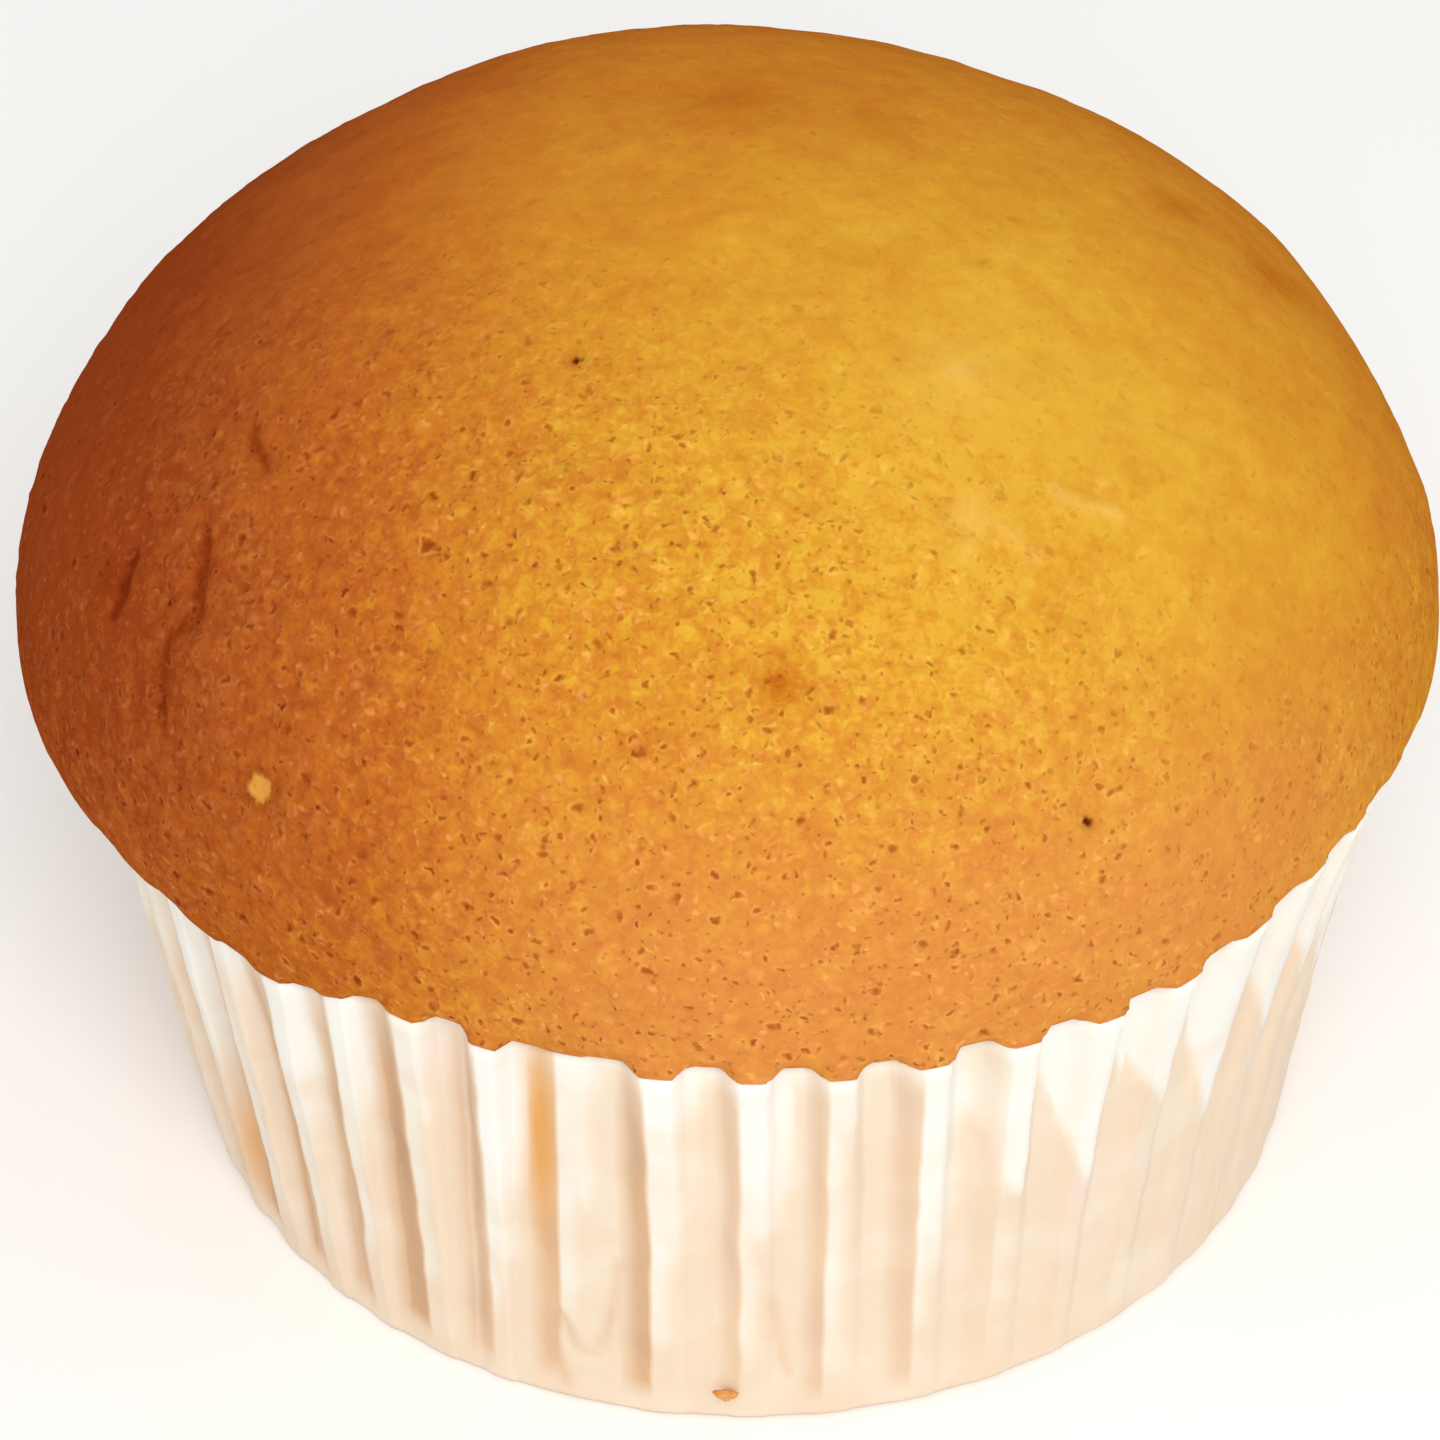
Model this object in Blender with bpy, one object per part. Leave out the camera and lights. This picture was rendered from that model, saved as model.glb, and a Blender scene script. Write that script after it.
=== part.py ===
"""Queen cake: a small domed sponge cake, baked in a pleated paper case and still in it.

Two solids, in metres, +Z up. The origin is the centre of the case's flat base, on the table.
Angles run anticlockwise from +X, seen from above. The front of the cake faces -Y.
"""

import math
import random

import bmesh
import bpy

MM = 0.001

# Paper case, measured at the crests of its pleats
BASE_RADIUS = 25.6 * MM
RIM_RADIUS = 29.4 * MM
CASE_HEIGHT = 23.8 * MM
PAPER = 0.40 * MM  # wall of the solid, thicker than real paper
FLOOR_RADIUS = 25.05 * MM  # flat part of the base
CORNER_HEIGHT = 0.75 * MM  # where the curve from base to wall ends
WALL_BELLY = -0.20 * MM  # how far the wall stands out at half height, below zero when it draws in

# Pleats
PLEATS = 48
PLEAT_STEPS = 6  # points along one pleat
PLEAT_TURN = math.radians(4.95)  # direction of the first valley
PLEAT_DEPTH_BASE = 0.28 * MM  # half the depth of a pleat, at the base
PLEAT_DEPTH_RIM = 0.75 * MM  # the same at the rim
CREST_POWER = 0.85  # below 1 the crests are narrower than the valleys
PRESSED_SIDE = math.radians(-35)  # here the cake has pressed the pleats flat, below the rim
RIM_DIP = 1.3 * MM  # how far the rim is pushed down on the left, under the crust's weight
PLEAT_SEED = 4166

# Sponge cake
GAP = 0.40 * MM  # between the cake and the paper, measured outwards
APEX_HEIGHT = 48.1 * MM  # from the table to the top of the crust
APEX_SHIFT = (-0.9 * MM, 0.4 * MM)
DOME_POWER = 2.02  # 2 is an ellipse, more has fuller shoulders
LIP_LEFT = 3.3 * MM  # how far the crust hangs over the rim, to the left
ROLL_POWER = 2.6  # above 1 the left lip is a roll of its own, and the dome above it is leaner
LIP_RIGHT = 1.05 * MM
LIP_BACK = 1.8 * MM
LIP_FRONT = -0.25 * MM  # at the front the crust stays inside the rim
LIP_RISE = 1.3 * MM  # from the rim up to the widest level of the crust, with no lip
DOME_ROWS = 9
DOME_STEP = 4  # one dome point for this many points round the pleats


def blend(a, b, share):
    return a + (b - a) * share


def pleat_plan():
    """The valleys' angles, and each crest's and valley's share of the full depth, a little uneven."""
    draw = random.Random(PLEAT_SEED)
    pitch = 2 * math.pi / PLEATS
    valleys = [PLEAT_TURN + (k + draw.uniform(-0.16, 0.16)) * pitch for k in range(PLEATS)]
    crests = [draw.uniform(0.80, 1.0) for _ in range(PLEATS)]
    hollows = [draw.uniform(0.75, 1.15) for _ in range(PLEATS)]
    sways = [draw.uniform(-0.14, 0.14) * pitch for _ in range(PLEATS)]
    return valleys, crests, hollows, sways


def pleat_points():
    """For each point round the case: (angle, wave from -1 in a valley to 1 on a crest, sway)."""
    valleys, crests, hollows, sways = pleat_plan()
    points = []
    for k in range(PLEATS):
        after = (k + 1) % PLEATS
        start = valleys[k]
        end = valleys[after] + (2 * math.pi if after == 0 else 0)
        for step in range(PLEAT_STEPS):
            share = step / PLEAT_STEPS
            side = 2 * share - 1  # -1 and 1 are the two valleys, 0 is the crest
            wave = math.cos(math.pi * abs(side) ** CREST_POWER)
            hollow = hollows[k] if side < 0 else hollows[after]
            wave *= crests[k] if wave > 0 else hollow
            sway = blend(sways[k], sways[after], share)
            points.append((blend(start, end, share), wave, sway))
    return points


ROUND = pleat_points()


def rim_wander(angle):
    """The rim isn't quite level: how far it stands above or below its mean height."""
    share = min(1, max(0, (-math.cos(angle) - 0.68) / 0.26))
    dip = RIM_DIP * share * share * (3 - 2 * share)
    return 0.22 * MM * math.sin(2 * angle + 0.6) + 0.12 * MM * math.sin(5 * angle + 2.0) - dip


def wall_radius(rise):
    """Mean radius of the case's outside at a share of its height, 0 at the corner and 1 at the rim."""
    low = BASE_RADIUS - PLEAT_DEPTH_BASE
    high = RIM_RADIUS - PLEAT_DEPTH_RIM
    return blend(low, high, rise) + WALL_BELLY * math.sin(math.pi * rise)


def pleat_depth(rise, angle):
    """Half the depth of a pleat at this height. It shrinks faster below the rim on the pressed side."""
    pressed = 0.5 + 0.5 * math.cos(angle - PRESSED_SIDE)
    low = PLEAT_DEPTH_BASE * (1 - 0.6 * pressed)
    return blend(low, PLEAT_DEPTH_RIM, rise ** (0.6 + 1.4 * pressed))


def place(angle, radius, height, centre=(0, 0)):
    return (
        centre[0] + radius * math.cos(angle),
        centre[1] + radius * math.sin(angle),
        height,
    )


def wall_ring(rise, inset=0.0, drop=0.0):
    """A ring of points on the pleated wall, moved inwards by inset and down by drop."""
    ring = []
    for angle, wave, sway in ROUND:
        radius = wall_radius(rise) + pleat_depth(rise, angle) * wave - inset
        height = blend(CORNER_HEIGHT, CASE_HEIGHT + rim_wander(angle), rise) - drop
        ring.append(place(angle + sway * rise * rise, radius, height))
    return ring


def corner_ring(turn, inset=0.0):
    """A ring on the curve between base and wall, moved in and up by inset. Turn 0 is flat, 1 upright."""
    reach = math.sin(turn * math.pi / 2)
    climb = 1 - math.cos(turn * math.pi / 2)
    ring = []
    for angle, wave, _ in ROUND:
        top = wall_radius(0) + pleat_depth(0, angle) * wave
        radius = blend(FLOOR_RADIUS, top, reach) - inset
        height = blend(0, CORNER_HEIGHT, climb) + inset
        ring.append(place(angle, radius, height))
    return ring


def foot_rise(inset):
    """Share of the wall's height at which a skin this far inside meets its own corner."""
    return inset / (CASE_HEIGHT - CORNER_HEIGHT)


def left_roll(angle):
    """The part of the lip that hangs over the rim on the left only."""
    return LIP_LEFT * max(-math.cos(angle), 0) ** 5


def lip(angle):
    """How far the crust reaches past the rim in this direction."""
    front, right = -math.sin(angle), math.cos(angle)
    side = LIP_RIGHT * max(right, 0) ** 2 + left_roll(angle)
    along = LIP_FRONT * max(front, 0) ** 2 + LIP_BACK * max(-front, 0) ** 2
    return side + along


def crust_width(angle):
    """Radius of the crust at its widest level."""
    lump = 0.25 * MM * math.sin(3 * angle + 0.9) + 0.15 * MM * math.sin(7 * angle + 2.2)
    return RIM_RADIUS - PLEAT_DEPTH_RIM * 0.4 + lip(angle) + lump * min(1, max(lip(angle), 0) / MM)


def crust_level(angle):
    """Height of the crust's widest level: a wide lip is a thick one."""
    return CASE_HEIGHT + LIP_RISE + 0.30 * max(lip(angle), 0)


def lip_ring(part):
    """A ring of the crust between the rim, part 0, and its widest level, part 1."""
    start = math.radians(8)
    top_wall = wall_ring(1.0, PAPER + GAP)
    ring = []
    for (angle, wave, sway), (x, y, _) in zip(ROUND, top_wall):
        turned = angle + sway
        inner = math.hypot(x, y)
        outer = crust_width(turned)
        bulge = math.sin(blend(start, math.pi / 2, part))
        if outer > inner:
            radius = blend(inner, outer, bulge)
        else:
            radius = blend(inner, outer, part)
        foot = CASE_HEIGHT + rim_wander(turned) + 0.35 * MM
        height = blend(foot, crust_level(turned), part**1.5)
        ring.append(place(turned, radius, height))
    return ring


def dome_ring(tilt):
    """A ring of the domed crust. Tilt goes from 0 at the widest level to a right angle at the apex."""
    out = math.cos(tilt) ** (2 / DOME_POWER)
    up = math.sin(tilt) ** (2 / DOME_POWER)
    centre = (APEX_SHIFT[0] * up, APEX_SHIFT[1] * up)
    ring = []
    for angle, _, sway in ROUND[::DOME_STEP]:
        turned = angle + sway * (1 - up)
        swell = 0.30 * MM * math.sin(3 * turned + 1.2) * math.sin(2 * tilt)
        radius = crust_width(turned) * out + swell - left_roll(turned) * (out - out**ROLL_POWER)
        height = blend(crust_level(turned), APEX_HEIGHT, up)
        ring.append(place(turned, radius, height, centre))
    return ring


def add_ring(bm, points):
    return [bm.verts.new(point) for point in points]


def join_rings(bm, lower, upper):
    """Faces between two closed rings. The upper one may have one point for every few of the lower."""
    many, few = len(lower), len(upper)
    group = many // few
    for i in range(few):
        here, after = upper[i], upper[(i + 1) % few]
        foot = [lower[(i * group + j) % many] for j in range(group + 1)]
        if group == 1:
            bm.faces.new((foot[0], foot[1], after, here))
            continue
        middle = group // 2
        for j in range(group):
            top = here if j <= middle else after
            bm.faces.new((foot[j], foot[j + 1], top))
            if j == middle:
                bm.faces.new((foot[j + 1], after, here))


def close_ring(bm, ring, centre):
    """A fan of triangles from the ring to one middle point."""
    middle = bm.verts.new(centre)
    for i, vert in enumerate(ring):
        bm.faces.new((vert, ring[(i + 1) % len(ring)], middle))


def finish(bm, name, material):
    """Turns the mesh into a named object with its faces pointing out."""
    bmesh.ops.recalc_face_normals(bm, faces=bm.faces)
    mesh = bpy.data.meshes.new(name)
    bm.to_mesh(mesh)
    bm.free()
    mesh.materials.append(material)
    mesh.shade_smooth()
    mesh.set_sharp_from_angle(angle=math.radians(50))
    part = bpy.data.objects.new(name, mesh)
    bpy.context.collection.objects.link(part)
    return part


def plain_material(name, colour, roughness):
    material = bpy.data.materials.new(name)
    material.use_nodes = True
    shader = material.node_tree.nodes["Principled BSDF"]
    shader.inputs["Base Color"].default_value = (*colour, 1)
    shader.inputs["Roughness"].default_value = roughness
    return material


def paper_case():
    """The pleated paper cup: an outer skin, an inner skin and the thin rim between them."""
    bm = bmesh.new()
    corner_turns = (0, 0.55)
    skins = []
    for inset in (0.0, PAPER):
        wall_rises = (foot_rise(inset), 0.33, 0.68, 1)
        rings = [add_ring(bm, corner_ring(turn, inset)) for turn in corner_turns]
        rings += [add_ring(bm, wall_ring(rise, inset)) for rise in wall_rises]
        close_ring(bm, rings[0], (0, 0, inset))
        for lower, upper in zip(rings, rings[1:]):
            join_rings(bm, lower, upper)
        skins.append(rings)
    join_rings(bm, skins[0][-1], skins[1][-1])
    return finish(bm, "paper_case", plain_material("greaseproof_paper", (0.91, 0.83, 0.72), 0.6))


def sponge_cake():
    """The sponge: it fills the case, pleats and all, and its crust domes over the rim."""
    bm = bmesh.new()
    inset = PAPER + GAP
    rings = [add_ring(bm, corner_ring(turn, inset)) for turn in (0, 0.55)]
    rings += [add_ring(bm, wall_ring(rise, inset)) for rise in (foot_rise(inset), 0.33, 0.68)]
    rings += [add_ring(bm, wall_ring(1, inset, drop=0.3 * MM))]
    rings += [add_ring(bm, lip_ring(part)) for part in (0, 0.35, 0.7)]
    for row in range(DOME_ROWS):
        rings.append(add_ring(bm, dome_ring(math.pi / 2 * row / DOME_ROWS)))
    close_ring(bm, rings[0], (0, 0, inset))
    for lower, upper in zip(rings, rings[1:]):
        join_rings(bm, lower, upper)
    close_ring(bm, rings[-1], (*APEX_SHIFT, APEX_HEIGHT))
    return finish(bm, "sponge_cake", plain_material("baked_sponge", (0.72, 0.30, 0.06), 0.55))


for old in list(bpy.data.objects):
    bpy.data.objects.remove(old)

paper_case()
sponge_cake()
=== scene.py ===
# %% [markdown]
# # A queen cake in its paper case
#
# A queen cake is a spoonful of sponge batter, baked in a pleated paper cup. The batter rises
# past the rim, browns, and sets as a low dome. The cup stays on. So there are two things to
# model: the paper, which is thin, white and folded, and the cake, whose crust is golden on
# top, brown at the edges, and covered in fine pores.
#
# Every length is in metres, +Z is up, and the front of the cake faces -Y. The origin is the
# centre of the flat base, on the table.

import math
import random

import bpy
import numpy as np
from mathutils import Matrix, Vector


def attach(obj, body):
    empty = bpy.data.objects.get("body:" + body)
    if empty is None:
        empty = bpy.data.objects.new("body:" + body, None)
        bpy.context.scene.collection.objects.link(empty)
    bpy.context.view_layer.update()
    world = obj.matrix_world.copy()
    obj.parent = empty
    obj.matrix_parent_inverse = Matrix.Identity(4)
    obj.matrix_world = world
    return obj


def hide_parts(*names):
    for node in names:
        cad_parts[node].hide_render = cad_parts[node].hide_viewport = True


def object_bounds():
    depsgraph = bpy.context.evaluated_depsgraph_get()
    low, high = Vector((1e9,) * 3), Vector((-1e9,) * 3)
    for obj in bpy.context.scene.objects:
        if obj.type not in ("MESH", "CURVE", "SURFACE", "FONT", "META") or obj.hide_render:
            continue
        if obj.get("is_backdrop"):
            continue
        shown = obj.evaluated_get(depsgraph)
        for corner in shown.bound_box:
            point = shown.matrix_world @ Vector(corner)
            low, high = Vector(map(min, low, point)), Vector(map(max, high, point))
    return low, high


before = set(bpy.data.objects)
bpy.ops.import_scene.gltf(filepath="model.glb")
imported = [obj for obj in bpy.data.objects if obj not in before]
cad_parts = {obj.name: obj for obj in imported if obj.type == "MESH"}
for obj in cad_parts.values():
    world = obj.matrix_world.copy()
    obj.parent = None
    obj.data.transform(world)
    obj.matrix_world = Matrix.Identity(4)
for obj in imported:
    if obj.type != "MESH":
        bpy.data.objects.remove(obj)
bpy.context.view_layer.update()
print("solids:", sorted(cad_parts))

# %% [markdown]
# ## The measures
#
# These are the sizes of the real thing. A baking case is sold by its base: this one is 50 mm
# across. The rest was measured on the photograph as a share of that base. Names that end in
# share have no unit: they say, for one, which part of a pleat's depth is lost where the cake
# has pressed on it, or where the crust hangs over it.

# %% Measures of the case and the cake
MM = 0.001

BASE_RADIUS = 25.6 * MM
RIM_RADIUS = 29.4 * MM
CASE_HEIGHT = 23.8 * MM
FLOOR_RADIUS = 25.05 * MM
CORNER_HEIGHT = 0.75 * MM
WALL_BELLY = -0.20 * MM
PAPER = 0.12 * MM

PLEATS = 48
PLEAT_TURN = math.radians(4.2)
FOLD_TWIST = math.radians(-0.5)
FOLD_SPREAD, SPREAD_REACH = 0.16, 0.6
PLEAT_DEPTH_BASE = 0.28 * MM
PLEAT_DEPTH_RIM = 0.75 * MM
FLANK_FOOT, FLANK_TOP, CREST_END, CREST_FOOT = 0.09, 0.36, 0.64, 0.76
PRESSED_SIDE = math.radians(-35)
PRESSED_SHARE, HUNG_OVER_SHARE = 0.6, 0.65
PLEAT_SEED = 4166
VALLEY_SHIFT, FOLD_SWAY, RIM_JITTER_MM = 0.16, 0.14, 0.12
CREST_SHARES, HOLLOW_SHARES = (0.65, 1.0), (0.75, 1.15)
FLAT_PLEAT, FLAT_SHARE = 33, 0.2
RIM_DIP = 2.0 * MM
RIM_LIFT = 1.7 * MM
RIM_FLARE = 0.45 * MM

APEX_HEIGHT = 48.0 * MM
APEX_SHIFT = (-0.9 * MM, 0.4 * MM)
DOME_POWER = 2.02
ROLL_POWER = 2.6
LIP_LEFT, LIP_RIGHT, LIP_BACK, LIP_FRONT = 3.3 * MM, 1.05 * MM, 1.8 * MM, -0.25 * MM
LIP_RISE = 1.3 * MM

print(f"case {2 * RIM_RADIUS / MM:.1f} mm across the rim, top at {APEX_HEIGHT / MM:.1f} mm")

# %% [markdown]
# ## One plan for all the pleats
#
# The cake was poured into the case and took its shape, fold for fold, so both follow one
# plan. A machine presses the pleats, so they are nearly even, but baking pulls them about.
# Each valley is moved a little from its even place, and each crest and valley has a depth of
# its own. The plan is a wave round the case: 1 on a crest, -1 in a valley. A sine would be
# too soft for pressed paper. Here the valley is flat, the left flank of each fold rises
# slowly, the crest is flat, and the right flank drops at once, as on the real case, where
# the crust shows as small teeth with one steep side. One pleat at the front is pressed
# nearly flat.

# %% The plan of the pleats
draw = random.Random(PLEAT_SEED)
pitch = 2 * math.pi / PLEATS
valleys = []
for k in range(PLEATS):
    valleys.append(PLEAT_TURN + (k + draw.uniform(-VALLEY_SHIFT, VALLEY_SHIFT)) * pitch)
crest_share = np.array([draw.uniform(*CREST_SHARES) for _ in range(PLEATS)])
hollow_share = np.array([draw.uniform(*HOLLOW_SHARES) for _ in range(PLEATS)])
sway = np.array([draw.uniform(-FOLD_SWAY, FOLD_SWAY) * pitch for _ in range(PLEATS)])
rim_jitter = np.array([draw.uniform(-RIM_JITTER_MM, RIM_JITTER_MM) * MM for _ in range(PLEATS)])
fold_share = np.ones(PLEATS)
fold_share[FLAT_PLEAT] = FLAT_SHARE
valley_edges = np.array(valleys + [valleys[0] + 2 * math.pi])


def blend(a, b, share):
    return a + (b - a) * share


def smooth_step(value, low, high):
    """0 below low, 1 above high, and an even S in between."""
    share = np.clip((value - low) / (high - low), 0, 1)
    return share * share * (3 - 2 * share)


def pleat_place(angle):
    """Which pleat these directions are in, and how far across it, from valley 0 to valley 1."""
    turned = (angle - valley_edges[0]) % (2 * math.pi) + valley_edges[0]
    pleat = np.clip(np.searchsorted(valley_edges, turned, side="right") - 1, 0, PLEATS - 1)
    share = (turned - valley_edges[pleat]) / (valley_edges[pleat + 1] - valley_edges[pleat])
    return pleat, share


def pleat_wave(angle):
    """The wave and the sideways sway of the folds in these directions, in radians."""
    pleat, share = pleat_place(angle)
    after = (pleat + 1) % PLEATS
    left_flank = smooth_step(share, FLANK_FOOT, FLANK_TOP) * fold_share[pleat]
    wave = 2 * left_flank * (1 - smooth_step(share, CREST_END, CREST_FOOT)) - 1
    hollow = np.where(share < 0.5, hollow_share[pleat], hollow_share[after])
    wave = wave * np.where(wave > 0, crest_share[pleat], hollow)
    return wave, blend(sway[pleat], sway[after], share)


print(f"{PLEATS} pleats, {math.degrees(pitch):.1f} degrees each")

# %% [markdown]
# ## The wall and the rim
#
# The wall leans out and bellies in a little. The machine turns as it presses, so the foot of
# each fold is twisted a little to the left, and the folds at the front spread apart towards
# the foot. The pleats are deepest at the rim, and nearly flat on the side where the batter
# has pushed against them. The crust has pressed the rim down on the left, where it hangs
# over it, and pushed it out on the right.


# %% Where the folded wall stands
def lean(angle, rise):
    """How far the folds are turned from their plan at this height, in radians."""
    _, swayed = pleat_wave(angle)
    from_front = (angle + math.pi / 2 + math.pi) % (2 * math.pi) - math.pi
    spread = FOLD_SPREAD * from_front * np.exp(-((from_front / SPREAD_REACH) ** 2))
    return swayed * rise**2 + (FOLD_TWIST + spread) * (1 - rise)


def pressed(angle):
    """1 on the side where the cake has pushed the folds flat, 0 on the other side."""
    return 0.5 + 0.5 * np.cos(angle - PRESSED_SIDE)


def under_left(angle):
    """1 on the left, where the crust hangs over the rim and has pressed it down."""
    return smooth_step(-np.cos(angle), 0.50, 0.72)


def pushed_right(angle):
    """1 on the right, where the crust has pushed the rim out."""
    return smooth_step(np.cos(angle), 0.55, 0.95)


def pleat_depth(rise, angle):
    """How far crests and valleys stand from the mean wall: least where the cake presses them."""
    rise = np.clip(rise, 0, 1)
    low = PLEAT_DEPTH_BASE * (1 - PRESSED_SHARE * pressed(angle))
    depth = blend(low, PLEAT_DEPTH_RIM, rise ** (0.6 + 2.0 * pressed(angle)))
    hung_over = smooth_step(-np.cos(angle), 0.45, 0.60) * smooth_step(rise, 0.6, 1)
    return depth * (1 - HUNG_OVER_SHARE * hung_over)


def wall_radius(rise):
    low = BASE_RADIUS - PLEAT_DEPTH_BASE
    high = RIM_RADIUS - PLEAT_DEPTH_RIM
    return blend(low, high, rise) + WALL_BELLY * np.sin(np.pi * rise)


def fold_radius(rise, angle, wave):
    """How far the folded paper stands from the axis."""
    flare = RIM_FLARE * pushed_right(angle) * rise**4
    return wall_radius(rise) + pleat_depth(rise, angle) * wave + flare


def rim_wander(angle):
    """How far the rim stands above its mean height: low on the left, high on the right."""
    pleat, share = pleat_place(angle)
    jitter = blend(rim_jitter[pleat], rim_jitter[(pleat + 1) % PLEATS], share)
    lift = RIM_LIFT * pushed_right(angle) - RIM_DIP * under_left(angle)
    wander = 0.22 * MM * np.sin(2 * angle + 0.6) + 0.12 * MM * np.sin(5 * angle + 2.0)
    return wander + jitter + lift


print(f"wall from {wall_radius(0) / MM:.1f} to {wall_radius(1) / MM:.1f} mm from the axis")

# %% [markdown]
# ## Helpers for the modelling
#
# An operator acts on everything that is selected, so each piece starts with nothing
# selected. Once a piece has its modifiers, they are applied. Each piece is added at the
# origin and its points are moved to where they belong, so its object stays unmoved, unturned
# and unscaled. Moving many points by a rule is done on the whole list of them at once.


# %% Modelling helpers
def start_fresh():
    bpy.ops.object.select_all(action="DESELECT")


def apply_modifiers(piece):
    bpy.context.view_layer.objects.active = piece
    for modifier in list(piece.modifiers):
        bpy.ops.object.modifier_apply(modifier=modifier.name)


def points_of(piece):
    points = np.empty(len(piece.data.vertices) * 3, np.float32)
    piece.data.vertices.foreach_get("co", points)
    return points.reshape(-1, 3).astype(np.float64)


def move_points(piece, points):
    piece.data.vertices.foreach_set("co", points.astype(np.float32).ravel())
    piece.data.update()


def add_subdivision(piece, levels):
    smooth = piece.modifiers.new("smooth", "SUBSURF")
    smooth.levels = smooth.render_levels = levels
    apply_modifiers(piece)


def write_attribute(piece, name, values):
    """A number for each point, which a material can read by name."""
    layer = piece.data.attributes.new(name, "FLOAT", "POINT")
    layer.data.foreach_set("value", values.astype(np.float32))


def shade_smooth(piece):
    start_fresh()
    piece.select_set(True)
    bpy.ops.object.shade_smooth()


def triangles(piece):
    return sum(len(face.vertices) - 2 for face in piece.data.polygons)


print("helpers are ready")

# %% [markdown]
# ## The paper case: a plain cup first
#
# A baking case is pressed from one round sheet of greaseproof paper. The middle stays flat,
# and the wall is folded because it has too much paper for its height. It could be made as a
# cone with a wavy outline, but a real case is flat and smooth below and deeply folded at the
# rim. So it starts as a circle, whose edge is extruded and widened ring by ring into a plain
# cup, and the folds come after.

# %% Extrude the cup
FIRST_RADIUS = 20 * MM

start_fresh()
bpy.ops.mesh.primitive_circle_add(
    vertices=PLEATS * 4, radius=FIRST_RADIUS, fill_type="TRIFAN", location=(0, 0, 0)
)
case = bpy.context.object
case.name = case.data.name = "pleated_paper"

cup_rings = [(23.6 * MM, 0), (FLOOR_RADIUS, 0), (25.3 * MM, 0.3 * MM)]
for rise in (0, 0.1, 0.22, 0.36, 0.52, 0.68, 0.84, 1):
    cup_rings.append((float(wall_radius(rise)), blend(CORNER_HEIGHT, CASE_HEIGHT, rise)))

bpy.ops.object.mode_set(mode="EDIT")
bpy.ops.mesh.select_mode(type="EDGE")
bpy.ops.mesh.select_all(action="DESELECT")
bpy.ops.mesh.select_non_manifold()
radius, height = FIRST_RADIUS, 0
for next_radius, next_height in cup_rings:
    bpy.ops.mesh.extrude_edges_move()
    wider = next_radius / radius
    bpy.ops.transform.resize(value=(wider, wider, 1), center_override=(0, 0, 0))
    bpy.ops.transform.translate(value=(0, 0, next_height - height))
    radius, height = next_radius, next_height
bpy.ops.mesh.select_all(action="SELECT")
bpy.ops.mesh.flip_normals()
bpy.ops.object.mode_set(mode="OBJECT")
add_subdivision(case, 2)
print("plain cup:", len(case.data.vertices), "points")

# %% [markdown]
# ## Folding the cup
#
# Each point of the wall is moved out on a crest and in along a valley, by more the nearer it
# is to the rim. The folds also lean a little from side to side, and the rim rises and falls.
# On the front right the hot batter has pressed the folds nearly flat, and only the top
# stays crimped. Fine crinkles run across the wall, where damp paper has dried again.

# %% Fold the wall
FIRST_FOLD, FULL_FOLD = 23.8 * MM, 25.3 * MM
CROSSING_WAVES = 14
DENT_DEPTH, DENT_SIZE = 0.05 * MM, 2.6 * MM
KINK_SHARE, KINK_SIZE = 0.015, 2.8 * MM


def crinkle(points, size, seed):
    """A soft, even noise from a few crossing waves, between about -1 and 1."""
    rng = np.random.default_rng(seed)
    total = np.zeros(len(points))
    for _ in range(CROSSING_WAVES):
        direction = rng.normal(size=3)
        direction /= np.linalg.norm(direction)
        wave = 2 * np.pi / (size * rng.uniform(0.7, 1.5))
        total += np.sin(points @ direction * wave + rng.uniform(0, 2 * np.pi))
    return total / math.sqrt(CROSSING_WAVES / 2) / 1.6


plain = points_of(case)
angle = np.arctan2(plain[:, 1], plain[:, 0])
flat_radius = np.hypot(plain[:, 0], plain[:, 1])
rise = np.clip((plain[:, 2] - CORNER_HEIGHT) / (CASE_HEIGHT - CORNER_HEIGHT), 0, 1)
wave, _ = pleat_wave(angle)
folding = smooth_step(flat_radius, FIRST_FOLD, FULL_FOLD)
folding *= 0.35 + 0.65 * smooth_step(plain[:, 2], 0, 4 * MM)
folded_radius = flat_radius + (fold_radius(rise, angle, wave) - wall_radius(rise)) * folding
folded_radius += DENT_DEPTH * crinkle(plain, DENT_SIZE, 5) * folding * (1 - rise**4)
folded_angle = angle + lean(angle, rise)
folded_angle += KINK_SHARE * pitch * crinkle(plain, KINK_SIZE, 11) * folding * (1 - rise**4)
folded = np.stack(
    [
        folded_radius * np.cos(folded_angle),
        folded_radius * np.sin(folded_angle),
        plain[:, 2] + rim_wander(angle) * rise,
    ],
    axis=1,
)
folded[:, 2] = np.maximum(folded[:, 2], 0)
move_points(case, folded)
rim_reach = folded_radius[rise > 0.999] / MM
print(f"rim from {rim_reach.min():.2f} to {rim_reach.max():.2f} mm from the axis")
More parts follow.
